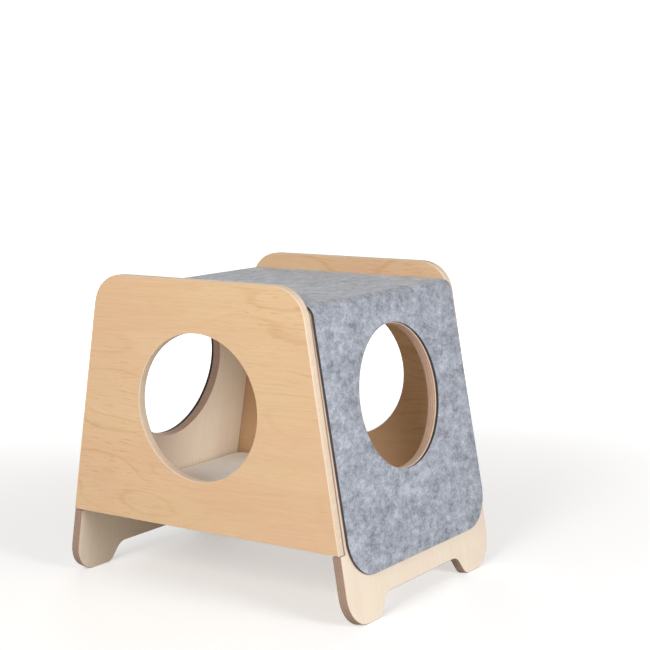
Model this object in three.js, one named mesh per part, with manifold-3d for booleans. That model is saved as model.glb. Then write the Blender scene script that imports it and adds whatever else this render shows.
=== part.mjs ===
// A cat house in plywood and felt: two side panels with a round hole each stand on the
// shoulders of two leaning end panels, whose feet carry the house clear of the floor. A top
// board and a floor board tie the four panels together, a sheet of thick felt wraps over both
// ends and the top, and a thin mat lies inside. Millimetres, +Z up, X along the length, the
// origin on the floor at the middle.

import * as THREE from "three";
import { mergeVertices } from "three/addons/utils/BufferGeometryUtils.js";
import Module from "manifold-3d";

const wasm = await Module();
wasm.setup();

// ---------------------------------------------------------------- driving dimensions

// Whole house
const lengthAtFloor = 444.5; // between the end panels' outer faces at the floor
const lengthAtTop = 313; // the same two planes at the side panels' top edge
const width = 346; // over the side panels' outer faces
const height = 400; // to the side panels' top edge
const board = 12; // plywood, all panels
const easing = 0.8; // chamfer along every exposed arris
const jointGap = 0.3; // between pieces that touch

// Side panels
const sideBottom = 89; // lower edge above the floor
const sideCornerRadius = 45; // upper corners
const sideHoleDiameter = 183;
const sideHoleHeight = 243; // centre above the floor
const sideSetBack = 1; // slanted edges behind the end panels' outer faces

// End panels
const endHoleDiameter = 180;
const endHoleHeight = 249.7; // centre above the floor, on the outer face
const footInset = 2.3; // feet behind the side panels' outer faces
const footWidth = 76.7; // outer side to the middle of the leaning inner side
const footOuterRadius = 40;
const footInnerRadius = 17; // both bends of the inner side
const footLean = 17; // how far the inner side leans over the arch height
const archHeight = 26; // cut-out between the feet, on the outer face

// Top board and floor board
const lipHeight = 26; // side panels' top edge above the top board
const bendRadius = 11.5; // rounded end of the top board, under the felt

// Felt cover
const feltThickness = 4;
const feltBottom = 54; // lower edge above the floor
const feltSideGap = 0.4; // to the side panels at the top
const feltFrontIn = 4; // front edge further in at the lower edge, as the sheet hangs askew
const feltRearOut = 9; // rear edge further out there, over the side panel's slanted edge
const feltCornerRadius = 50;
const feltHoleDiameter = 182;

// Floor mat
const matThickness = 3;
const matMargin = 4; // to the walls round it
const matCornerRadius = 14;

// Wooden dowels between the end panels' edges and the side panels
const dowelDiameter = 5;
const dowelLength = 24;
const dowelInSide = 8; // the rest is in the end panel
const dowelHeights = { lower: 150, upper: 325 };

// Countersunk wood screws that hold the end panels to the two boards
const screwDiameter = 4;
const screwHeadDiameter = 7;
const screwHeadHeight = 2.4;
const screwLength = 34;
const screwSinkFloor = 1.2; // head below the end panel's face
const screwSinkTop = 3; // head below the top board, clear of its rounded end
const screwInsetTop = 7; // from the end panel's outer face
const screwSpacing = 190;
const socketAcrossFlats = 2.5;
const socketDepth = 1.6;

// Cam fittings that draw the side panels against the two boards
const camDiameter = 12;
const camHeight = 8.6;
const camSetBack = 22; // cam centre from the side panel's inner face
const camSpacingTop = 170;
const camSpacingFloor = 240;
const studThreadDiameter = 6;
const studThreadLength = 8.5;
const studShaftDiameter = 4;
const studHeadDiameter = 5.2;
const studNeckDiameter = 2.8;
const studNeckLength = 3;
const studHeadLength = 2.4;
const fastenerGap = 0.3; // round every fastener in its hole

// ---------------------------------------------------------------- sizes that follow

const slope = Math.atan2((lengthAtFloor - lengthAtTop) / 2, height);
const boardSpan = width / 2 - board; // middle to a side panel's inner face
const topUnderside = height - lipHeight - board;
const topSurface = height - lipHeight;
const floorSurface = sideBottom + board;
const ROUND = 8; // facets of a small round piece
const ARC = 4; // half the straight steps in one arc of an outline

// ---------------------------------------------------------------- materials

const veneer = new THREE.MeshStandardMaterial({ color: 0xdcb68c, roughness: 0.55, metalness: 0 });
const palePly = new THREE.MeshStandardMaterial({ color: 0xe6ccab, roughness: 0.6, metalness: 0 });
const greyFelt = new THREE.MeshStandardMaterial({ color: 0x9fa3ae, roughness: 0.95, metalness: 0 });
const paleFelt = new THREE.MeshStandardMaterial({ color: 0xeeeae2, roughness: 0.95, metalness: 0 });
const beech = new THREE.MeshStandardMaterial({ color: 0xc79a6b, roughness: 0.7, metalness: 0 });
const steel = new THREE.MeshStandardMaterial({ color: 0xb9bcc0, roughness: 0.35, metalness: 1 });
const zinc = new THREE.MeshStandardMaterial({ color: 0x9a9da1, roughness: 0.45, metalness: 1 });

// ---------------------------------------------------------------- shared shape code

// A closed geometry as a solid that can be joined and cut.
function solidFrom(geometry) {
  const bare = geometry.index ? geometry.toNonIndexed() : geometry.clone();
  bare.deleteAttribute("normal");
  bare.deleteAttribute("uv");
  const merged = mergeVertices(bare, 1e-4);
  return new wasm.Manifold(
    new wasm.Mesh({
      numProp: 3,
      vertProperties: merged.getAttribute("position").array,
      triVerts: new Uint32Array(merged.index.array),
    }),
  );
}

// A solid as a geometry, with flat normals.
function geometryFrom(solid) {
  const mesh = solid.getMesh();
  const geometry = new THREE.BufferGeometry();
  geometry.setAttribute("position", new THREE.BufferAttribute(mesh.vertProperties, 3));
  geometry.setIndex(new THREE.BufferAttribute(mesh.triVerts, 1));
  const flat = geometry.toNonIndexed();
  flat.computeVertexNormals();
  return flat;
}

function named(name, geometry, material) {
  const mesh = new THREE.Mesh(geometry, material);
  mesh.name = name;
  return mesh;
}

// A closed outline through [x, y, radius] corners listed anticlockwise, each rounded by its radius.
function roundedOutline(corners) {
  const shape = new THREE.Shape();
  corners.forEach(([x, y, radius], i) => {
    const corner = new THREE.Vector2(x, y);
    if (!radius) {
      if (i === 0) shape.moveTo(x, y);
      else shape.lineTo(x, y);
      return;
    }
    const before = corners[(i + corners.length - 1) % corners.length];
    const after = corners[(i + 1) % corners.length];
    const back = new THREE.Vector2(before[0], before[1]).sub(corner).normalize();
    const ahead = new THREE.Vector2(after[0], after[1]).sub(corner).normalize();
    const half = Math.acos(back.dot(ahead)) / 2;
    const centre = back.clone().add(ahead).normalize().multiplyScalar(radius / Math.sin(half)).add(corner);
    const start = back.clone().multiplyScalar(radius / Math.tan(half)).add(corner);
    const end = ahead.clone().multiplyScalar(radius / Math.tan(half)).add(corner);
    const from = Math.atan2(start.y - centre.y, start.x - centre.x);
    const to = Math.atan2(end.y - centre.y, end.x - centre.x);
    const clockwise = back.cross(ahead) > 0;
    if (i === 0) shape.moveTo(start.x, start.y);
    shape.absarc(centre.x, centre.y, radius, from, to, clockwise);
  });
  shape.closePath();
  return shape;
}

// A round hole in an outline, in arcs so that it is finer than the rounded corners.
function roundHole(x, y, diameter) {
  const hole = new THREE.Path();
  const arcs = 8;
  const step = (2 * Math.PI) / arcs;
  for (let i = 0; i < arcs; i++) hole.absarc(x, y, diameter / 2, -i * step, -(i + 1) * step, true);
  return hole;
}

// A plate of the given thickness with eased arrises; its faces are at z = 0 and z = -thickness.
function easedPlate(shape, thickness, ease) {
  const geometry = new THREE.ExtrudeGeometry(shape, {
    depth: thickness - 2 * ease,
    bevelEnabled: ease > 0,
    bevelThickness: ease,
    bevelSize: ease,
    bevelOffset: -ease,
    bevelSegments: 1,
    curveSegments: ARC,
  });
  geometry.translate(0, 0, ease - thickness);
  return geometry;
}

// An outline drawn in X and Z, run along Y between two places.
function alongY(shape, fromY, toY) {
  const geometry = new THREE.ExtrudeGeometry(shape, {
    depth: toY - fromY,
    bevelEnabled: false,
    curveSegments: ARC,
  });
  geometry.rotateX(Math.PI / 2);
  geometry.translate(0, toY, 0);
  return geometry;
}

// A turned piece about its own Z axis, from [radius, z] points listed upwards.
function turned(points, facets = ROUND) {
  const profile = points.map(([radius, z]) => new THREE.Vector2(radius, z));
  const geometry = new THREE.LatheGeometry(profile, facets);
  geometry.rotateX(Math.PI / 2);
  return geometry;
}

// ---------------------------------------------------------------- the leaning end planes

// Outer face of the right end panel: its X at a height, moved out by a distance along its normal.
function endX(z, out = 0) {
  return lengthAtFloor / 2 - z * Math.tan(slope) + out / Math.cos(slope);
}

// The frame of the right end panel's outer face: X across, Y up the slope, Z outwards.
function endFrame() {
  const across = new THREE.Vector3(0, 1, 0);
  const upSlope = new THREE.Vector3(-Math.sin(slope), 0, Math.cos(slope));
  const outwards = new THREE.Vector3(Math.cos(slope), 0, Math.sin(slope));
  const frame = new THREE.Matrix4().makeBasis(across, upSlope, outwards);
  return frame.setPosition(endX(0), 0, 0);
}

// Distance up the slope of a point on the outer face at a height.
function upSlopeTo(z) {
  return z / Math.cos(slope);
}

// ---------------------------------------------------------------- fasteners and their places

// Each place is a matrix: its origin is where the fastener's own z = 0 goes, and its Z axis is
// the way out of the hole.
function placeAt(origin, out) {
  const turn = new THREE.Quaternion().setFromUnitVectors(new THREE.Vector3(0, 0, 1), out);
  return new THREE.Matrix4().compose(origin, turn, new THREE.Vector3(1, 1, 1));
}

const ENDS = { left: -1, right: 1 };
const SIDES = { front: -1, rear: 1 };

// Dowels lie along Y in the middle of the end panels' thickness, z = 0 at the joint.
function dowelPlaces() {
  const places = [];
  for (const [end, ex] of Object.entries(ENDS))
    for (const [side, sy] of Object.entries(SIDES))
      for (const [level, z] of Object.entries(dowelHeights)) {
        const origin = new THREE.Vector3(ex * endX(z, -board / 2), sy * boardSpan, z);
        const out = new THREE.Vector3(0, sy, 0);
        places.push({ name: `dowel_${end}_${side}_${level}`, end, side, at: placeAt(origin, out) });
      }
  return places;
}

function dowel(grow) {
  const radius = dowelDiameter / 2 + grow;
  const chamfer = 0.6;
  const low = dowelInSide - dowelLength - grow;
  const high = dowelInSide + grow;
  return turned([
    [0, low],
    [radius - chamfer, low],
    [radius, low + chamfer],
    [radius, high - chamfer],
    [radius - chamfer, high],
    [0, high],
  ]);
}

// Top screws run down the end panels' thickness; floor screws run square through their faces.
function screwPlaces() {
  const places = [];
  for (const [end, ex] of Object.entries(ENDS))
    for (const [side, sy] of Object.entries(SIDES)) {
      const y = (sy * screwSpacing) / 2;
      const down = topSurface - screwSinkTop;
      const upSlope = new THREE.Vector3(-ex * Math.sin(slope), 0, Math.cos(slope));
      const head = new THREE.Vector3(ex * endX(down, -screwInsetTop), y, down);
      places.push({ name: `screw_top_${end}_${side}`, board: "top", end, at: placeAt(head, upSlope) });
      const outwards = new THREE.Vector3(ex * Math.cos(slope), 0, Math.sin(slope));
      const reach = (screwLength + board) / 2;
      const entry = floorSurface - board / 2 + reach * Math.sin(slope);
      const sunk = new THREE.Vector3(ex * endX(entry), y, entry).addScaledVector(outwards, -screwSinkFloor);
      places.push({ name: `screw_floor_${end}_${side}`, board: "floor", end, at: placeAt(sunk, outwards) });
    }
  return places;
}

function screwBlank(grow, headRoom) {
  const shank = screwDiameter / 2 + grow;
  const head = screwHeadDiameter / 2 + grow;
  const tip = 3.5;
  const rim = 0.5;
  return turned([
    [0, -screwLength - grow],
    [shank, -screwLength + tip],
    [shank, -screwHeadHeight - grow],
    [head, -rim],
    [head, headRoom],
    [0, headRoom],
  ]);
}

function screw() {
  const radius = socketAcrossFlats / Math.sqrt(3);
  const socket = new THREE.CylinderGeometry(radius, radius, 2 * socketDepth, 6);
  socket.rotateX(Math.PI / 2);
  return geometryFrom(solidFrom(screwBlank(0, 0)).subtract(solidFrom(socket)));
}

// Cam fittings sit in the undersides of the two boards; z = 0 of the stud is at the side panel.
function camPlaces() {
  const places = [];
  const levels = [
    { board: "top", underside: topUnderside, spacing: camSpacingTop },
    { board: "floor", underside: sideBottom, spacing: camSpacingFloor },
  ];
  for (const level of levels)
    for (const [end, ex] of Object.entries(ENDS))
      for (const [side, sy] of Object.entries(SIDES)) {
        const x = (ex * level.spacing) / 2;
        const camOrigin = new THREE.Vector3(x, sy * (boardSpan - camSetBack), level.underside);
        const studOrigin = new THREE.Vector3(x, sy * boardSpan, level.underside + board / 2);
        places.push({
          name: `${level.board}_${end}_${side}`,
          board: level.board,
          side,
          cam: placeAt(camOrigin, new THREE.Vector3(0, 0, 1)),
          camTurn: sy,
          stud: placeAt(studOrigin, new THREE.Vector3(0, sy, 0)),
        });
      }
  return places;
}

// The cam drum: open at the top on the stud's side, with a cross for the driver underneath.
function cam(turn) {
  const drum = new THREE.CylinderGeometry(camDiameter / 2, camDiameter / 2, camHeight, 2 * ROUND);
  drum.rotateX(Math.PI / 2);
  drum.translate(0, 0, fastenerGap + camHeight / 2);
  const throat = studHeadDiameter + 4 * fastenerGap;
  const throatFloor = board / 2 - throat / 2;
  const throatEnd = 2 * fastenerGap + studHeadLength / 2;
  const slot = new THREE.BoxGeometry(throat, camDiameter, board);
  slot.translate(0, turn * (camDiameter / 2 - throatEnd), throatFloor + board / 2);
  const crossLength = 7;
  const crossWidth = 1.4;
  const crossDepth = 1.4;
  const cross = new THREE.BoxGeometry(crossLength, crossWidth, 2 * crossDepth);
  const otherCross = new THREE.BoxGeometry(crossWidth, crossLength, 2 * crossDepth);
  cross.translate(0, 0, fastenerGap);
  otherCross.translate(0, 0, fastenerGap);
  const cut = solidFrom(drum).subtract(solidFrom(slot)).subtract(solidFrom(cross));
  return geometryFrom(cut.subtract(solidFrom(otherCross)));
}

function camPocket() {
  const radius = camDiameter / 2 + fastenerGap;
  const depth = camHeight + 2 * fastenerGap;
  const pocket = new THREE.CylinderGeometry(radius, radius, 2 * depth, 2 * ROUND);
  pocket.rotateX(Math.PI / 2);
  return pocket;
}

// The stud: thread in the side panel, shaft through the board's edge, neck and head in the cam.
function stud(grow) {
  const headEnd = -camSetBack - studHeadLength / 2;
  const neckEnd = headEnd + studHeadLength;
  const shaft = studShaftDiameter / 2;
  const head = studHeadDiameter / 2;
  if (grow > 0)
    return turned([
      [0, headEnd],
      [head + grow, headEnd],
      [head + grow, 0],
      [studThreadDiameter / 2 + grow, 0],
      [studThreadDiameter / 2 + grow, studThreadLength + grow],
      [0, studThreadLength + grow],
    ]);
  const pitch = 1.7;
  const thread = studThreadDiameter / 2;
  const points = [
    [0, headEnd],
    [head * 0.7, headEnd],
    [head, headEnd + studHeadLength / 2],
    [studNeckDiameter / 2, neckEnd],
    [studNeckDiameter / 2, neckEnd + studNeckLength],
    [shaft, neckEnd + studNeckLength + 1],
    [shaft, fastenerGap],
  ];
  for (let z = fastenerGap + pitch / 2; z < studThreadLength - pitch / 2; z += pitch) {
    points.push([thread, z]);
    points.push([shaft, z + pitch / 2]);
  }
  points.push([shaft, studThreadLength]);
  points.push([0, studThreadLength]);
  return turned(points);
}

// ---------------------------------------------------------------- panels and boards

// Cut every fastener's hole that reaches this panel.
function drilled(solid, cutters) {
  return cutters.reduce((rest, [geometry, at]) => {
    return rest.subtract(solidFrom(geometry.clone().applyMatrix4(at)));
  }, solid);
}

const dowelHole = dowel(fastenerGap);
const screwHole = screwBlank(fastenerGap, screwSinkTop + board);
const studHole = stud(fastenerGap);
const camHole = camPocket();

function sidePanel(side) {
  const low = lengthAtFloor / 2 - sideBottom * Math.tan(slope) - sideSetBack / Math.cos(slope);
  const high = lengthAtFloor / 2 - height * Math.tan(slope) - sideSetBack / Math.cos(slope);
  const outline = roundedOutline([
    [-low, sideBottom, 0],
    [low, sideBottom, 0],
    [high, height, sideCornerRadius],
    [-high, height, sideCornerRadius],
  ]);
  outline.holes.push(roundHole(0, sideHoleHeight, sideHoleDiameter));
  const plate = easedPlate(outline, board, easing);
  plate.rotateX(Math.PI / 2);
  plate.translate(0, side === "front" ? -width / 2 : width / 2 - board, 0);
  const dowels = dowelPlaces().filter((place) => place.side === side);
  const cams = camPlaces().filter((place) => place.side === side);
  return drilled(solidFrom(plate), [
    ...dowels.map((place) => [dowelHole, place.at]),
    ...cams.map((place) => [studHole, place.stud]),
  ]);
}

// An end panel: narrow between the side panels, wider below them, on two rounded feet.
function endPanel(end) {
  const foot = width / 2 - footInset;
  const neck = boardSpan - jointGap;
  const shoulder = upSlopeTo(sideBottom - jointGap);
  const past = upSlopeTo(topSurface);
  const bend = foot - footWidth + footLean / 2;
  const arch = foot - footWidth - footLean / 2;
  const archTop = upSlopeTo(archHeight);
  const outline = roundedOutline([
    [-foot, 0, footOuterRadius],
    [-bend, 0, footInnerRadius],
    [-arch, archTop, footInnerRadius],
    [arch, archTop, footInnerRadius],
    [bend, 0, footInnerRadius],
    [foot, 0, footOuterRadius],
    [foot, shoulder, 0],
    [neck, shoulder, 0],
    [neck, past, 0],
    [-neck, past, 0],
    [-neck, shoulder, 0],
    [-foot, shoulder, 0],
  ]);
  outline.holes.push(roundHole(0, upSlopeTo(endHoleHeight), endHoleDiameter));
  const plate = easedPlate(outline, board, easing);
  plate.applyMatrix4(endFrame());
  // Flat feet on the floor, and a level top edge under the top board.
  const level = new THREE.BoxGeometry(lengthAtFloor, 2 * width, topUnderside - jointGap);
  level.translate(lengthAtFloor / 2, 0, (topUnderside - jointGap) / 2);
  const trimmed = geometryFrom(solidFrom(plate).intersect(solidFrom(level)));
  if (end === "left") trimmed.rotateZ(Math.PI);
  const dowels = dowelPlaces().filter((place) => place.end === end);
  const screws = screwPlaces().filter((place) => place.end === end);
  return drilled(solidFrom(trimmed), [
    ...dowels.map((place) => [dowelHole, place.at]),
    ...screws.map((place) => [screwHole, place.at]),
  ]);
}

// The top board covers the end panels' top edges, and its rounded ends follow their slope.
function topBoard() {
  const radius = Math.min(bendRadius, board);
  const outline = roundedOutline([
    [-endX(topUnderside), topUnderside, 0],
    [endX(topUnderside), topUnderside, 0],
    [endX(topSurface), topSurface, radius],
    [-endX(topSurface), topSurface, radius],
  ]);
  return boardWithFittings(outline, "top");
}

// The floor board fills the space between the four panels, level with the side panels' edges.
function floorBoard() {
  const inside = -board - jointGap;
  const outline = roundedOutline([
    [-endX(sideBottom, inside), sideBottom, 0],
    [endX(sideBottom, inside), sideBottom, 0],
    [endX(floorSurface, inside), floorSurface, 0],
    [-endX(floorSurface, inside), floorSurface, 0],
  ]);
  return boardWithFittings(outline, "floor");
}

function boardWithFittings(outline, which) {
  const plank = alongY(outline, -boardSpan + jointGap, boardSpan - jointGap);
  const screws = screwPlaces().filter((place) => place.board === which);
  const cams = camPlaces().filter((place) => place.board === which);
  return drilled(solidFrom(plank), [
    ...screws.map((place) => [screwHole, place.at]),
    ...cams.map((place) => [camHole, place.cam]),
    ...cams.map((place) => [studHole, place.stud]),
  ]);
}

// ---------------------------------------------------------------- felt

// One corner of the bent sheet's section, a distance out from the boards.
function feltCorner(out, mirror) {
  const z = topSurface + out;
  return [mirror * endX(z, out), z, Math.min(bendRadius, board) + out];
}

// A point of the section at the sheet's lower edge, a distance out from the end panel.
function feltEdge(out, mirror) {
  const up = upSlopeTo(feltBottom);
  const x = endX(0) - up * Math.sin(slope) + out * Math.cos(slope);
  return [mirror * x, up * Math.cos(slope) + out * Math.sin(slope), 0];
}

// The outline of the sheet's hanging end, drawn on the end panel's outer face. Rear is 1 where
// the rear is at the outline's +X side, and -1 where it is at the other.
function feltTongue(rear) {
  const top = boardSpan - feltSideGap;
  const rearLow = top + feltRearOut;
  const frontLow = top - feltFrontIn;
  const lowLeft = rear > 0 ? frontLow : rearLow;
  const lowRight = rear > 0 ? rearLow : frontLow;
  const edge = upSlopeTo(feltBottom);
  const bend = upSlopeTo(topUnderside);
  const past = upSlopeTo(topSurface);
  const outline = roundedOutline([
    [-lowLeft, edge, feltCornerRadius],
    [lowRight, edge, feltCornerRadius],
    [top, bend, 0],
    [top, past, 0],
    [-top, past, 0],
    [-top, bend, 0],
  ]);
  outline.holes.push(roundHole(0, upSlopeTo(endHoleHeight), feltHoleDiameter));
  const tongue = easedPlate(outline, 2 * (board + feltThickness), 0);
  tongue.translate(0, 0, board + feltThickness);
  return tongue.applyMatrix4(endFrame());
}

// The cover: a bent sheet cut to the outline of its two hanging ends.
function feltCover() {
  const inner = jointGap;
  const outer = jointGap + feltThickness;
  const section = roundedOutline([
    feltEdge(inner, 1),
    feltEdge(outer, 1),
    feltCorner(outer, 1),
    feltCorner(outer, -1),
    feltEdge(outer, -1),
    feltEdge(inner, -1),
    feltCorner(inner, -1),
    feltCorner(inner, 1),
  ]);
  const sheet = alongY(section, -width / 2, width / 2);
  const top = new THREE.BoxGeometry(lengthAtFloor, 2 * (boardSpan - feltSideGap), 2 * board + outer);
  top.translate(0, 0, topUnderside + board + outer / 2);
  const right = feltTongue(1);
  const left = feltTongue(-1).rotateZ(Math.PI);
  const cut = solidFrom(top).add(solidFrom(right)).add(solidFrom(left));
  return solidFrom(sheet).intersect(cut);
}

// The mat: a thin sheet on the floor board, cut short of the walls all round.
function floorMat() {
  const underside = floorSurface + jointGap;
  const top = underside + matThickness;
  const halfLength = endX(top, -board) - matMargin;
  const halfWidth = boardSpan - matMargin;
  const outline = roundedOutline([
    [-halfLength, -halfWidth, matCornerRadius],
    [halfLength, -halfWidth, matCornerRadius],
    [halfLength, halfWidth, matCornerRadius],
    [-halfLength, halfWidth, matCornerRadius],
  ]);
  const mat = new THREE.ExtrudeGeometry(outline, {
    depth: matThickness,
    bevelEnabled: false,
    curveSegments: ARC,
  });
  return mat.translate(0, 0, underside);
}

// ---------------------------------------------------------------- assembly

const house = new THREE.Group();
house.name = "cat_house";

for (const side of Object.keys(SIDES))
  house.add(named(`side_panel_${side}`, geometryFrom(sidePanel(side)), veneer));
for (const end of Object.keys(ENDS))
  house.add(named(`end_panel_${end}`, geometryFrom(endPanel(end)), palePly));
house.add(named("top_board", geometryFrom(topBoard()), palePly));
house.add(named("floor_board", geometryFrom(floorBoard()), palePly));
house.add(named("felt_cover", geometryFrom(feltCover()), greyFelt));
house.add(named("floor_mat", floorMat(), paleFelt));

for (const place of dowelPlaces()) {
  const pin = named(place.name, dowel(0), beech);
  pin.applyMatrix4(place.at);
  house.add(pin);
}
for (const place of screwPlaces()) {
  const fixing = named(place.name, screw(), steel);
  fixing.applyMatrix4(place.at);
  house.add(fixing);
}
for (const place of camPlaces()) {
  const drum = named(`cam_${place.name}`, cam(place.camTurn), zinc);
  drum.applyMatrix4(place.cam);
  const bolt = named(`cam_stud_${place.name}`, stud(0), steel);
  bolt.applyMatrix4(place.stud);
  house.add(drum, bolt);
}

export default house;
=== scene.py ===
"""A cat house in plywood and felt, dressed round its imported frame.

The sections follow the house as it is put together: the two leaning end panels, the floor board,
the side panels, the top board, the fixings, the felt cover and the mat. Metres, +Z up.
"""

from math import atan2, cos, pi, radians, sin

import bmesh
import bpy
from mathutils import Matrix, Vector, noise


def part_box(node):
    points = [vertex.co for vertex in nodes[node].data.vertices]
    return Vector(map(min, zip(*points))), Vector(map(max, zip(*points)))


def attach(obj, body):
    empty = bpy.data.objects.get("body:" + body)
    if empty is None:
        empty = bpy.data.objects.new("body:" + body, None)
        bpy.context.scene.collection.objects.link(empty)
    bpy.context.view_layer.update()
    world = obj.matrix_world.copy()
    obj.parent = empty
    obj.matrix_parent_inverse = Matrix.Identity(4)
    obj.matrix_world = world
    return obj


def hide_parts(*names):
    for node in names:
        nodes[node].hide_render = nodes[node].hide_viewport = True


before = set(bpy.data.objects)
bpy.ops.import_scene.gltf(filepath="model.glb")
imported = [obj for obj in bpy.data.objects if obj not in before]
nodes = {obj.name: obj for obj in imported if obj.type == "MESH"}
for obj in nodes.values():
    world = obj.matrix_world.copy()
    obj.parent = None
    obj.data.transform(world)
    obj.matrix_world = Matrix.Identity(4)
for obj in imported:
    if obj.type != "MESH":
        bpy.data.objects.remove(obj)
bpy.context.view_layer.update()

scene = bpy.context.scene

# ------------------------------------------------------------------ camera, floor and light
# A long lens a little above the roof, turned to show the front and the right end. The floor is
# a pale sweep, lit by an even sky and by three softboxes: right, front, and behind on the left.

lens = bpy.data.cameras.new("studio_camera")
lens.lens = 86.37
lens.sensor_width = 36
camera = bpy.data.objects.new("studio_camera", lens)
camera.matrix_world = (
    Matrix.Translation((1.17685, -1.62774, 0.60617))
    @ Matrix.Rotation(0.5960, 4, "Z")
    @ Matrix.Rotation(pi / 2 - 0.1397, 4, "X")
    @ Matrix.Rotation(-0.0081, 4, "Z")
)
scene.collection.objects.link(camera)
scene.camera = camera
scene.view_settings.view_transform = "Standard"


def set_down(name, shape, *materials):
    """An object at the origin from a finished bmesh, with its materials."""
    mesh = bpy.data.meshes.new(name)
    shape.to_mesh(mesh)
    shape.free()
    for material in materials:
        mesh.materials.append(material)
    made = bpy.data.objects.new(name, mesh)
    scene.collection.objects.link(made)
    return made


def node(tree, kind, inputs=None, **settings):
    """A shader node with its settings made and its inputs set or linked."""
    made = tree.nodes.new("ShaderNode" + kind)
    for setting, value in settings.items():
        setattr(made, setting, value)
    for socket, value in (inputs or {}).items():
        if isinstance(value, bpy.types.NodeSocket):
            tree.links.new(value, made.inputs[socket])
        else:
            made.inputs[socket].default_value = value
    return made


def surface(name, **shader):
    """A material with its Principled shader, whose even values are set on its own sockets."""
    made = bpy.data.materials.new(name)
    made.use_nodes = True
    principled = made.node_tree.nodes["Principled BSDF"]
    for socket, value in shader.items():
        principled.inputs[socket.replace("_", " ")].default_value = value
    return made, made.node_tree, principled


floor_shape = bmesh.new()
bmesh.ops.create_circle(floor_shape, cap_ends=True, segments=96, radius=9)
floor_finish, tree, principled = surface(
    "pale_floor", Base_Color=(0.66, 0.66, 0.66, 1), Roughness=0.9,
    Emission_Color=(1.0, 1.0, 1.0, 1),
)


def seen_and_cast(tree, cast, seen):
    """One strength for the light that a surface casts, and another for how bright it looks."""
    to_camera = node(tree, "LightPath").outputs["Is Camera Ray"]
    return node(tree, "MapRange", {"Value": to_camera, "To Min": cast, "To Max": seen}).outputs[0]


out_from_house = node(
    tree, "VectorMath", {0: node(tree, "TexCoord").outputs["Object"]}, operation="LENGTH"
).outputs["Value"]
paler_far_off = node(
    tree, "MapRange",
    {"Value": out_from_house, "From Min": 0.3, "From Max": 2.2, "To Min": 0.45, "To Max": 1.0},
    interpolation_type="SMOOTHSTEP",
).outputs[0]
floor_glow = seen_and_cast(tree, 0.02, paler_far_off)
tree.links.new(floor_glow, principled.inputs["Emission Strength"])
floor = set_down("studio_floor", floor_shape, floor_finish)

sky = bpy.data.worlds.new("studio_sky")
sky.use_nodes = True
backdrop = sky.node_tree.nodes["Background"]
backdrop.inputs["Color"].default_value = (1.0, 0.975, 0.94, 1)
sky.node_tree.links.new(seen_and_cast(sky.node_tree, 0.26, 1.1), backdrop.inputs["Strength"])
scene.world = sky


def soft_lamp(name, place, size, power, colour):
    """A square softbox that faces the middle of the house."""
    light = bpy.data.lights.new(name, "AREA")
    light.size = size
    light.energy = power
    light.color = colour
    lamp = bpy.data.objects.new(name, light)
    place = Vector(place)
    lamp.matrix_world = Matrix.LocRotScale(
        place, (Vector((0, 0, 0.2)) - place).to_track_quat("-Z", "Y"), None
    )
    scene.collection.objects.link(lamp)


soft_lamp("right_lamp", (2.65, -0.45, 1.0), 1.0, 51, (0.97, 0.98, 1.0))
soft_lamp("front_lamp", (0.3, -2.5, 1.45), 1.0, 41, (1.0, 0.97, 0.93))
soft_lamp("rear_lamp", (-2.0, 2.3, 0.9), 1.4, 26, (1.0, 0.98, 0.95))

# ------------------------------------------------------------------ end panels
# Two leaning panels in 12 mm birch-faced plywood with the grain up the slope, cut out between
# two rounded feet and round a doorway, and lacquered matt. Their cut edges are brown, and round
# the doorways they are painted paler: painted light on doorway walls that sit in shade.

board = 0.012
length_at_floor = 0.4445
length_at_top = 0.313
house_height = 0.4
slope = atan2((length_at_floor - length_at_top) / 2, house_height)


def scalar(tree, operation, *values, clamp=False):
    """The result of one step of arithmetic on numbers or sockets."""
    return node(
        tree, "Math", dict(enumerate(values)), operation=operation, use_clamp=clamp
    ).outputs[0]


def mixed(tree, share, first, second, blend="MIX"):
    """Two colours mixed by a share."""
    return node(
        tree, "Mix", {0: share, 6: first, 7: second}, data_type="RGBA", blend_type=blend
    ).outputs[2]


def ranged(tree, value, low, high, to_low=0.0, to_high=1.0):
    """A value taken from one range to another and held inside it."""
    sockets = {
        "Value": value, "From Min": low, "From Max": high, "To Min": to_low, "To Max": to_high,
    }
    return node(tree, "MapRange", sockets, interpolation_type="SMOOTHSTEP").outputs["Result"]


def stretched(tree, vector, scale):
    """Coordinates multiplied by a scale on each axis."""
    return node(tree, "VectorMath", {0: vector, 1: scale}, operation="MULTIPLY").outputs[0]


def shifted(tree, vector, offset):
    """Coordinates moved by an offset."""
    return node(tree, "VectorMath", {0: vector, 1: offset}, operation="ADD").outputs[0]


def cloud(tree, vector, scale, detail=2.0, roughness=0.5, distortion=0.0):
    """Soft noise from 0 to 1."""
    sockets = {
        "Vector": vector, "Scale": scale, "Detail": detail,
        "Roughness": roughness, "Distortion": distortion,
    }
    return node(tree, "TexNoise", sockets).outputs["Fac"]


def effect(name, inputs, outputs):
    """An empty shader node group with its sockets, and its two end nodes."""
    kinds = {"vector": "NodeSocketVector", "colour": "NodeSocketColor", "value": "NodeSocketFloat"}
    group = bpy.data.node_groups.new(name, "ShaderNodeTree")
    for socket, kind in inputs.items():
        group.interface.new_socket(socket, in_out="INPUT", socket_type=kinds[kind])
    for socket, kind in outputs.items():
        group.interface.new_socket(socket, in_out="OUTPUT", socket_type=kinds[kind])
    start = group.nodes.new("NodeGroupInput")
    finish = group.nodes.new("NodeGroupOutput")
    return group, start.outputs, finish.inputs


def placed(tree, group, inputs):
    """A node group in a material, with this material's values."""
    return node(tree, "Group", inputs, node_tree=group).outputs


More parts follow.
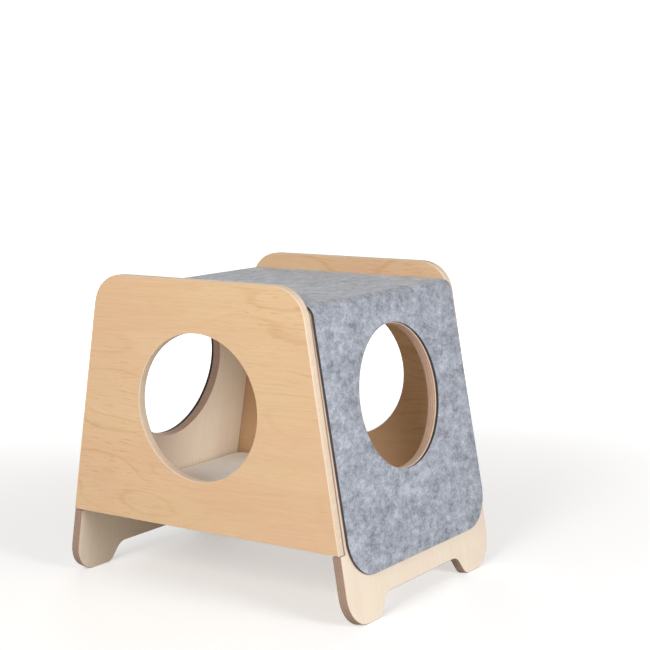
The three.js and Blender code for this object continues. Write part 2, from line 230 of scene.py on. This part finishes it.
def dress(tree, principled, colour, height, strength, depth, roughness=None):
    """Links a pattern's colour, relief and roughness to a shader."""
    tree.links.new(colour, principled.inputs["Base Color"])
    if roughness:
        tree.links.new(roughness, principled.inputs["Roughness"])
    bump = node(tree, "Bump", {"Height": height, "Strength": strength, "Distance": depth})
    tree.links.new(bump.outputs[0], principled.inputs["Normal"])


# Sawn or peeled wood with the grain along X: broad bands, contour figure, fine lines, streaks,
# fibres, the short brown flecks of beech and birch, and pinker clouds.
wood_grain, given, made = effect(
    "wood_grain",
    {"Vector": "vector", "Light": "colour", "Dark": "colour", "Figure": "value"},
    {"Color": "colour", "Height": "value", "Roughness": "value"},
)
tree = wood_grain
sway = cloud(tree, stretched(tree, given["Vector"], (2.2, 7.0, 7.0)), 1.0, 2.0, 0.45)
sway_vector = node(
    tree, "CombineXYZ", {"Y": scalar(tree, "MULTIPLY", sway, 0.045)}
).outputs[0]
swayed = shifted(tree, given["Vector"], sway_vector)
bands = cloud(tree, stretched(tree, swayed, (2.0, 46.0, 46.0)), 1.0, 2.0, 0.5)
contour = cloud(tree, stretched(tree, swayed, (4.2, 15.0, 15.0)), 1.0, 1.5, 0.4)
rings = scalar(tree, "PINGPONG", scalar(tree, "MULTIPLY", contour, 18.0), 1.0)
rings = ranged(tree, rings, 0.0, 0.3)
lines = cloud(tree, stretched(tree, swayed, (9.0, 420.0, 420.0)), 1.0, 3.0, 0.6)
streaks = cloud(tree, stretched(tree, swayed, (42.0, 420.0, 420.0)), 1.0, 1.0)
streaks = ranged(tree, streaks, 0.57, 0.71)
fibres = cloud(tree, stretched(tree, given["Vector"], (45.0, 2600.0, 2600.0)), 1.0, 2.0, 0.6)
flecks = cloud(tree, stretched(tree, given["Vector"], (170.0, 1500.0, 1500.0)), 1.0, 1.0, 0.5)
flecks = ranged(tree, flecks, 0.64, 0.76)
lively = cloud(tree, stretched(tree, given["Vector"], (3.0, 5.0, 5.0)), 1.0, 1.0)
lively = ranged(tree, lively, 0.38, 0.62, 0.4, 1.4)
tone = scalar(tree, "MULTIPLY_ADD", bands, 0.4, 0.19)
tone = scalar(tree, "MULTIPLY_ADD", ranged(tree, lines, 0.3, 0.7), 0.2, tone)
shade = scalar(tree, "MULTIPLY", scalar(tree, "SUBTRACT", 1.0, rings), given["Figure"])
shade = scalar(tree, "MULTIPLY", scalar(tree, "MULTIPLY_ADD", streaks, 0.34, shade), lively)
tone = scalar(tree, "SUBTRACT", tone, shade)
tone = scalar(tree, "MULTIPLY_ADD", ranged(tree, fibres, 0.25, 0.75), 0.22, tone)
tone = scalar(tree, "MULTIPLY_ADD", flecks, -0.32, tone, clamp=True)
blush = cloud(tree, stretched(tree, given["Vector"], (5.0, 11.0, 11.0)), 1.0, 2.0)
blush = ranged(tree, blush, 0.38, 0.66, 0.0, 0.8)
colour = mixed(tree, tone, given["Dark"], given["Light"])
colour = mixed(tree, blush, colour, (0.985, 0.93, 0.965, 1), "MULTIPLY")
tree.links.new(colour, made["Color"])
relief = scalar(tree, "MULTIPLY_ADD", flecks, -0.6, fibres)
tree.links.new(scalar(tree, "MULTIPLY_ADD", lines, 0.5, relief), made["Height"])
tree.links.new(ranged(tree, lines, 0.2, 0.8, 0.58, 0.42), made["Roughness"])

# Nine plies: X along the face grain and Z through the thickness from one face. The face veneer
# shows on both faces, and every cut edge shows the plies and the glue lines, with a painted
# highlight: a paler band next to each face where the eased corner would catch the light.
ply_stack, given, made = effect(
    "ply_stack",
    {
        "Vector": "vector", "Face Light": "colour", "Face Dark": "colour",
        "Edge Long": "colour", "Edge End": "colour", "Glue": "colour", "Figure": "value",
    },
    {"Color": "colour", "Height": "value", "Roughness": "value"},
)
tree = ply_stack
veneer = 0.001
inner_plies = 7
core = (board - 2 * veneer) / inner_plies
axes = node(tree, "SeparateXYZ", {0: given["Vector"]}).outputs
layer = scalar(tree, "DIVIDE", scalar(tree, "SUBTRACT", axes["Z"], veneer), core)
count = scalar(tree, "FLOOR", layer)
along = scalar(tree, "FLOORED_MODULO", count, 2.0)
share = scalar(tree, "FRACT", layer)
near_glue = scalar(tree, "MINIMUM", share, scalar(tree, "SUBTRACT", 1.0, share))
glue_line = ranged(tree, near_glue, 0.03, 0.11, 1.0, 0.0)
from_face = scalar(tree, "MINIMUM", axes["Z"], scalar(tree, "SUBTRACT", board, axes["Z"]))
on_edge = ranged(tree, from_face, 0.00004, 0.00012)
# Painted highlight: the cut edge is painted paler within a millimetre of each face.
arris_highlight = ranged(tree, from_face, 0.0009, 0.00015)
apart = node(tree, "CombineXYZ", {"X": scalar(tree, "MULTIPLY", count, 3.7)}).outputs[0]
long_place = shifted(tree, given["Vector"], apart)
turned = node(tree, "CombineXYZ", {"X": axes["Y"], "Y": axes["X"], "Z": axes["Z"]}).outputs[0]
cross_place = shifted(tree, turned, apart)
face = placed(
    tree, wood_grain,
    {"Vector": given["Vector"], "Light": given["Face Light"], "Dark": given["Face Dark"],
     "Figure": given["Figure"]},
)
edge_dark = mixed(tree, 0.3, given["Edge Long"], given["Edge End"])
long_ply = placed(
    tree, wood_grain,
    {"Vector": long_place, "Light": given["Edge Long"], "Dark": edge_dark, "Figure": 0.1},
)
cross_ply = placed(
    tree, wood_grain,
    {"Vector": cross_place, "Light": edge_dark, "Dark": given["Edge End"], "Figure": 0.1},
)
plies = mixed(tree, along, cross_ply["Color"], long_ply["Color"])
broken = cloud(tree, stretched(tree, given["Vector"], (160.0, 160.0, 30.0)), 1.0, 1.0)
glue_line = scalar(tree, "MULTIPLY", glue_line, ranged(tree, broken, 0.3, 0.6, 0.25, 0.8))
plies = mixed(tree, glue_line, plies, given["Glue"])
# The painted highlight mixes the cut edge towards its paler colour next to each face.
plies = mixed(tree, scalar(tree, "MULTIPLY", arris_highlight, 0.55), plies, given["Edge Long"])
tree.links.new(mixed(tree, on_edge, face["Color"], plies), made["Color"])
cut_height = mixed(tree, along, cross_ply["Height"], long_ply["Height"])
tree.links.new(mixed(tree, on_edge, face["Height"], cut_height), made["Height"])
rough_cut = scalar(tree, "MULTIPLY_ADD", broken, 0.2, 0.56)
rough = node(tree, "Mix", {0: on_edge, 2: face["Roughness"], 3: rough_cut}, data_type="FLOAT")
tree.links.new(rough.outputs[0], made["Roughness"])

# The cut edge of an end panel's doorway lies inside this half width and above this height.
doorway_reach = 0.12
arch_top = 0.09
doorway_blend = 0.005


def plywood(
    name, grain, out, face_at, seed, light, dark, edge_long, edge_end, glue, figure,
    doorway_painted_light=0
):
    """Plywood with its face grain along one direction, and its outer face at a distance out."""
    material, tree, principled = surface(name, Specular_IOR_Level=0.4)
    grain, out = Vector(grain), Vector(out)
    # Round the doorway the cut edges are painted paler, as painted light on walls that sit in
    # shade.
    if doorway_painted_light:
        place = node(tree, "SeparateXYZ", {0: node(tree, "TexCoord").outputs["Object"]}).outputs
        from_middle = scalar(tree, "ABSOLUTE", place["Y"])
        inside = ranged(
            tree, from_middle, doorway_reach + doorway_blend, doorway_reach - doorway_blend
        )
        above = ranged(tree, place["Z"], arch_top - doorway_blend, arch_top + doorway_blend)
        doorway = scalar(tree, "MULTIPLY", inside, above)
        paler = scalar(tree, "MULTIPLY_ADD", doorway, doorway_painted_light, 1.0)
        edge_long = stretched(tree, edge_long[:3], paler)
        edge_end = stretched(tree, edge_end[:3], paler)
    own = node(
        tree, "Mapping",
        {
            "Vector": node(tree, "TexCoord").outputs["Object"],
            "Location": (seed, seed / 3, board - face_at),
            "Rotation": Matrix((grain, out.cross(grain), out)).to_euler("XYZ"),
        },
    ).outputs[0]
    stack = placed(
        tree, ply_stack,
        {"Vector": own, "Face Light": light, "Face Dark": dark, "Edge Long": edge_long,
         "Edge End": edge_end, "Glue": glue, "Figure": figure},
    )
    dress(tree, principled, stack["Color"], stack["Height"], 0.35, 0.00012, stack["Roughness"])
    return material


def joined(name, packed, material):
    """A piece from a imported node, with its triangles joined so that round edges shade as one."""
    shape = bmesh.new()
    shape.from_mesh(nodes[packed].data)
    bmesh.ops.remove_doubles(shape, verts=shape.verts[:], dist=2e-6)
    for edge in shape.edges:
        edge.smooth = edge.calc_face_angle(pi) < radians(50)
    for face in shape.faces:
        face.smooth = True
        face.material_index = 0
    piece = set_down(name, shape, material)
    weighted = piece.modifiers.new("flat_faces", "WEIGHTED_NORMAL")
    weighted.keep_sharp = True
    weighted.weight = 100
    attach(piece, "root")
    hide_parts(packed)
    return piece


# The doorway value paints the doorways' cut edges paler, as painted light.
birch = dict(
    light=(0.86, 0.755, 0.61, 1), dark=(0.75, 0.62, 0.47, 1), edge_long=(0.47, 0.335, 0.25, 1),
    edge_end=(0.31, 0.21, 0.155, 1), glue=(0.18, 0.11, 0.08, 1), figure=0.08, doorway_painted_light=0.55,
)
for end, way in (("right", 1), ("left", -1)):
    finish = plywood(
        f"birch_ply_{end}", grain=(-way * sin(slope), 0, cos(slope)),
        out=(way * cos(slope), 0, sin(slope)), face_at=length_at_floor / 2 * cos(slope),
        seed=0.31 + way, **birch
    )
    panel = joined(f"end_{end}", f"end_panel_{end}", finish)

# ------------------------------------------------------------------ floor board
# One piece of the same plywood, unlacquered, that fills the space between the four panels.
# Drums for the cam fittings are bored into its underside.

raw_ply = dict(
    light=(0.80, 0.64, 0.45, 1), dark=(0.62, 0.45, 0.29, 1), edge_long=(0.66, 0.49, 0.33, 1),
    edge_end=(0.42, 0.28, 0.18, 1), glue=(0.18, 0.10, 0.06, 1), figure=0.12,
)


def shelf(name, packed, ply, seed):
    """A level board with its face grain along the house."""
    upper_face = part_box(packed)[1].z
    made = joined(name, packed, plywood(ply, (1, 0, 0), (0, 0, 1), upper_face, seed, **raw_ply))


shelf("floor_shelf", "floor_board", "floor_ply", 1.3)

# ------------------------------------------------------------------ side panels
# Front and rear panels in 12 mm beech-faced plywood with the grain along the house, rounded at
# their upper corners, with a round doorway each. Warm matt lacquer, and pale sawn edges.

beech_face = dict(
    light=(0.835, 0.61, 0.385, 1), dark=(0.69, 0.43, 0.22, 1), edge_long=(0.82, 0.68, 0.52, 1),
    edge_end=(0.66, 0.52, 0.38, 1), glue=(0.42, 0.30, 0.21, 1), figure=0.28,
)
for side, way in (("front", -1), ("rear", 1)):
    finish = plywood(
        f"beech_ply_{side}", grain=(1, 0, 0), out=(0, way, 0),
        face_at=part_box("side_panel_rear")[1].y, seed=2.7 + way, **beech_face
    )
    panel = joined(f"side_{side}", f"side_panel_{side}", finish)

# ------------------------------------------------------------------ top board
# A plywood board over the end panels' top edges, with rounded ends that the felt bends round.

shelf("top_shelf", "top_board", "top_ply", 2.1)

# ------------------------------------------------------------------ dowels
# Turned beech pins with the grain along them, glued into the end panels' edges and into the
# side panels.

pin_wood, tree, principled = surface("dowel_beech", Specular_IOR_Level=0.35)
along_pin = node(
    tree, "Mapping",
    {"Vector": node(tree, "TexCoord").outputs["Object"], "Rotation": (0, 0, pi / 2)},
).outputs[0]
grain = placed(
    tree, wood_grain,
    {"Vector": along_pin, "Light": (0.62, 0.40, 0.22, 1), "Dark": (0.40, 0.23, 0.11, 1),
     "Figure": 0.1},
)
dress(tree, principled, grain["Color"], grain["Height"], 0.4, 0.0001, grain["Roughness"])


def refinish(start, material):
    """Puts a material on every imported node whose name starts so."""
    for name, packed in nodes.items():
        if name.startswith(start):
            packed.data.materials.clear()
            packed.data.materials.append(material)


refinish("dowel_", pin_wood)

# ------------------------------------------------------------------ screws, studs and cams
# Zinc-plated countersunk screws with a hex socket, threaded studs, and die-cast cam drums that
# draw the side panels tight against the boards.

metal_wear, given, made = effect(
    "metal_wear",
    {"Vector": "vector", "Clean": "colour", "Dull": "colour", "Shine": "value", "Matt": "value"},
    {"Color": "colour", "Height": "value", "Roughness": "value"},
)
tree = metal_wear
patches = cloud(tree, given["Vector"], 420.0, 4.0, 0.6)
grit = cloud(tree, given["Vector"], 5200.0, 2.0, 0.5)
worn = scalar(tree, "MULTIPLY_ADD", grit, 0.4, scalar(tree, "MULTIPLY", patches, 0.7), clamp=True)
tree.links.new(mixed(tree, worn, given["Clean"], given["Dull"]), made["Color"])
tree.links.new(grit, made["Height"])
spread = node(
    tree, "Mix", {0: worn, 2: given["Shine"], 3: given["Matt"]}, data_type="FLOAT"
)
tree.links.new(spread.outputs[0], made["Roughness"])


def metal(name, clean, dull, shine, matt, depth):
    """A plated or cast metal with patches of duller finish."""
    material, tree, principled = surface(name, Metallic=1.0)
    wear = placed(
        tree, metal_wear,
        {"Vector": node(tree, "TexCoord").outputs["Object"], "Clean": clean, "Dull": dull,
         "Shine": shine, "Matt": matt},
    )
    dress(tree, principled, wear["Color"], wear["Height"], 0.5, depth, wear["Roughness"])
    return material


plated = metal("plated_steel", (0.66, 0.67, 0.69, 1), (0.50, 0.49, 0.46, 1), 0.22, 0.48, 0.00003)
cast = metal("cast_zinc", (0.50, 0.51, 0.53, 1), (0.34, 0.34, 0.35, 1), 0.38, 0.66, 0.00006)
refinish("screw_", plated)
refinish("cam_", cast)
refinish("cam_stud_", plated)

# ------------------------------------------------------------------ felt cover
# One sheet of 4 mm pressed felt, bonded over the top board and down both end panels, and cut
# out round the doorways. Heathered blue-grey fibres, and edges seared dark by the cutter.

felt_thickness = 0.004
felt_rim = 0.0007
glue_gap = 0.0003
bend_radius = 0.0115
half_width = 0.1606
front_edge_in = 0.004
rear_edge_out = 0.009
lower_edge_height = 0.054
taper_height = 0.362
doorway_height = 0.2497
doorway_diameter = 0.182
lower_corner_radius = 0.0493
bend_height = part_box("felt_cover")[1].z - felt_thickness - glue_gap - bend_radius
bend_place = length_at_floor / 2 - bend_height * sin(slope) / cos(slope) - bend_radius / cos(slope)
bend_centre = Vector((bend_place, 0, bend_height))
bend_angle = pi / 2 - slope
bend_length = (bend_radius + glue_gap + felt_thickness / 2) * bend_angle
slope_start = (bend_centre.z + bend_radius * cos(bend_angle)) / cos(slope)
to_floor = bend_centre.x + bend_length + slope_start
half_length = to_floor - lower_edge_height / cos(slope)
taper_start = half_length - (taper_height - lower_edge_height) / cos(slope)
doorway_place = to_floor - doorway_height / cos(slope)


def soften_rim(shape, thickness, rim, steps=3):
    """Rounds the upper and lower rims of a flat sheet by insetting its two faces in steps."""
    for height, way in ((thickness, 1), (0.0, -1)):
        flat_faces = [f for f in shape.faces if all(abs(v.co.z - height) < 1e-7 for v in f.verts)]
        face_verts = {v for f in flat_faces for v in f.verts}
        bmesh.ops.translate(shape, vec=(0, 0, -way * rim), verts=list(face_verts))
        for step in range(steps):
            turn, next_turn = pi / 2 * step / steps, pi / 2 * (step + 1) / steps
            bmesh.ops.inset_region(
                shape, faces=flat_faces, use_boundary=True, use_even_offset=True,
                thickness=rim * (cos(turn) - cos(next_turn)), depth=0.0,
            )
            face_verts = {v for f in flat_faces for v in f.verts}
            bmesh.ops.translate(
                shape, vec=(0, 0, way * rim * (sin(next_turn) - sin(turn))), verts=list(face_verts)
            )


def cut_sheet(outline, corners, corner_radius, doorways, thickness, rim):
    """A flat sheet from its outline: chosen corners rounded, round doorways, and soft rims."""
    flat = bmesh.new()
    points = [flat.verts.new((x, y, 0)) for x, y in outline]
    flat.faces.new(points)
    bmesh.ops.bevel(
        flat, geom=[points[i] for i in corners], offset=corner_radius, affect="VERTICES",
        segments=20, profile=0.5, material=-1,
    )
    bmesh.ops.delete(flat, geom=flat.faces[:], context="FACES_ONLY")
    for x, y, diameter in doorways:
        bmesh.ops.create_circle(
            flat, segments=128, radius=diameter / 2, matrix=Matrix.Translation((x, y, 0))
        )
    bmesh.ops.triangle_fill(flat, edges=flat.edges[:], use_beauty=True)
    cut_area = sum(f.calc_area() for f in flat.faces)
    raised = bmesh.ops.extrude_face_region(flat, geom=flat.faces[:])["geom"]
    bmesh.ops.translate(
        flat, vec=(0, 0, thickness), verts=[g for g in raised if isinstance(g, bmesh.types.BMVert)]
    )
    bmesh.ops.recalc_face_normals(flat, faces=flat.faces[:])
    soften_rim(flat, thickness, rim)
    return flat, cut_area


front_low = front_edge_in - half_width
rear_low = half_width + rear_edge_out
outline = [
    (-half_length, front_low), (-taper_start, -half_width), (taper_start, -half_width),
    (half_length, front_low), (half_length, rear_low), (taper_start, half_width),
    (-taper_start, half_width), (-half_length, rear_low),
]
sheet_shape, felt_area = cut_sheet(
    outline, (0, 3, 4, 7), lower_corner_radius,
    [(-doorway_place, 0, doorway_diameter), (doorway_place, 0, doorway_diameter)],
    felt_thickness, felt_rim,
)


def crease_across(shape, places, along):
    """Cuts across a flat sheet, so that it can bend there."""
    for place in places:
        point = (place, 0, 0) if along == "X" else (0, place, 0)
        normal = (1, 0, 0) if along == "X" else (0, 1, 0)
        bmesh.ops.bisect_plane(
            shape, geom=shape.verts[:] + shape.edges[:] + shape.faces[:], dist=1e-7,
            plane_co=point, plane_no=normal,
        )


bend_cuts = 18
for way in (-1, 1):
    crease_across(
        sheet_shape,
        [way * (bend_centre.x + bend_length * i / bend_cuts) for i in range(bend_cuts + 1)], "X",
    )


def keep_flat_place(shape):
    """Keeps each point's place on the flat sheet, which the felt's pattern follows."""
    layer = shape.verts.layers.float_vector.new("flat_place")
    for vert in shape.verts:
        vert[layer] = vert.co


keep_flat_place(sheet_shape)
for vert in sheet_shape.verts:
    along, across, up = vert.co
    way = 1 if along > 0 else -1
    past = abs(along) - bend_centre.x
    radius = bend_radius + glue_gap + up
    if past <= 0:
        vert.co = (along, across, bend_centre.z + radius)
    else:
        turned = min(past / bend_length, 1) * bend_angle
        hanging = max(past - bend_length, 0)
        vert.co = (
            way * (bend_centre.x + radius * sin(turned) + hanging * sin(slope)), across,
            bend_centre.z + radius * cos(turned) - hanging * cos(slope),
        )
for face in sheet_shape.faces:
    face.smooth = True
for edge in sheet_shape.edges:
    edge.smooth = edge.calc_face_angle(0) < radians(40)

# Pressed felt in three tones: blotches where the fibres bunch, a slower drift, crossing strands.
felt_fibre, given, made = effect(
    "felt_fibre",
    {"Vector": "vector", "Light": "colour", "Middle": "colour", "Dark": "colour",
     "Blotch": "value"},
    {"Color": "colour", "Height": "value"},
)
tree = felt_fibre
combed = stretched(tree, given["Vector"], (1.0, 0.7, 1.0))
bunches = cloud(tree, combed, 120.0, 8.0, 0.85, 0.3)
drift = cloud(tree, combed, 45.0, 2.0, 0.55)
strand_turns = (0.2, 1.35, 2.4)
strands = 0.0
for turn in strand_turns:
    turned = node(
        tree, "Mapping", {"Vector": given["Vector"], "Rotation": (0, 0, turn)}
    ).outputs[0]
    strand = cloud(tree, stretched(tree, turned, (300.0, 2400.0, 2400.0)), 1.0, 2.0, 0.55, 1.2)
    strands = scalar(tree, "ADD", strands, strand)
strands = scalar(tree, "DIVIDE", strands, len(strand_turns))
tone = scalar(tree, "MULTIPLY", ranged(tree, bunches, 0.34, 0.66), given["Blotch"])
tone = scalar(tree, "MULTIPLY_ADD", ranged(tree, strands, 0.38, 0.62), 0.3, tone)
tone = scalar(tree, "MULTIPLY_ADD", ranged(tree, drift, 0.3, 0.7), 0.26, tone)
spare = scalar(tree, "MULTIPLY_ADD", given["Blotch"], 0.5, -0.22)
tone = scalar(tree, "SUBTRACT", tone, spare)
darker = mixed(tree, ranged(tree, tone, 0.0, 0.5), given["Dark"], given["Middle"])
tree.links.new(mixed(tree, ranged(tree, tone, 0.5, 1.0), darker, given["Light"]), made["Color"])
relief = scalar(tree, "MULTIPLY_ADD", bunches, 0.8, strands)
tree.links.new(relief, made["Height"])

cover_felt, tree, principled = surface(
    "grey_felt", Roughness=0.95, Specular_IOR_Level=0.15, Sheen_Weight=0.25, Sheen_Roughness=0.45,
)
flat_place = node(tree, "Attribute", attribute_name="flat_place").outputs["Vector"]
fibres = placed(
    tree, felt_fibre,
    {"Vector": flat_place, "Light": (0.51, 0.535, 0.605, 1), "Middle": (0.33, 0.35, 0.40, 1),
     "Dark": (0.165, 0.177, 0.205, 1), "Blotch": 0.78},
)
through = node(tree, "SeparateXYZ", {0: flat_place}).outputs["Z"]
in_from_face = scalar(tree, "MINIMUM", through, scalar(tree, "SUBTRACT", felt_thickness, through))
seared = ranged(tree, in_from_face, 0.0001, 0.0006)
scorch = mixed(
    tree, cloud(tree, flat_place, 900.0, 3.0, 0.6), (0.035, 0.028, 0.026, 1), (0.10, 0.085, 0.08, 1)
)
heathered = mixed(tree, seared, fibres["Color"], scorch)
dress(tree, principled, heathered, fibres["Height"], 0.6, 0.0005)

felt_cover = set_down("felt_over_top_and_ends", sheet_shape, cover_felt)
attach(felt_cover, "root")
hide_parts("felt_cover")

# ------------------------------------------------------------------ floor mat
# A thin off-white felt mat, cut square with rounded corners and laid loose on the floor board.

low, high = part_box("floor_mat")
mat_thickness = high.z - low.z
mat_corner_radius = 0.014
mat_rim = 0.0006
outline = [(low.x, low.y), (high.x, low.y), (high.x, high.y), (low.x, high.y)]
mat_shape, mat_area = cut_sheet(
    outline, (0, 1, 2, 3), mat_corner_radius, [], mat_thickness, mat_rim
)
cells_along, cells_across = 60, 48
crease_across(
    mat_shape, [low.x + (high.x - low.x) * i / cells_along for i in range(1, cells_along)], "X"
)
crease_across(
    mat_shape, [low.y + (high.y - low.y) * i / cells_across for i in range(1, cells_across)], "Y"
)
keep_flat_place(mat_shape)
ripple_height = 0.00025
for vert in mat_shape.verts:
    ripple = noise.noise(Vector((vert.co.x * 14, vert.co.y * 14, 3.0)))
    vert.co.z += low.z + ripple_height * ripple * vert.co.z / mat_thickness
for face in mat_shape.faces:
    face.smooth = True

mat_felt, tree, principled = surface(
    "pale_felt", Roughness=0.95, Specular_IOR_Level=0.15, Sheen_Weight=0.2, Sheen_Roughness=0.5,
)
flat_place = node(tree, "Attribute", attribute_name="flat_place").outputs["Vector"]
fibres = placed(
    tree, felt_fibre,
    {"Vector": flat_place, "Light": (0.94, 0.93, 0.91, 1), "Middle": (0.90, 0.89, 0.86, 1),
     "Dark": (0.80, 0.78, 0.74, 1), "Blotch": 0.4},
)
dress(tree, principled, fibres["Color"], fibres["Height"], 0.5, 0.0004)
floor_mat = set_down("mat_on_floor", mat_shape, mat_felt)
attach(floor_mat, "root")
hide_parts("floor_mat")
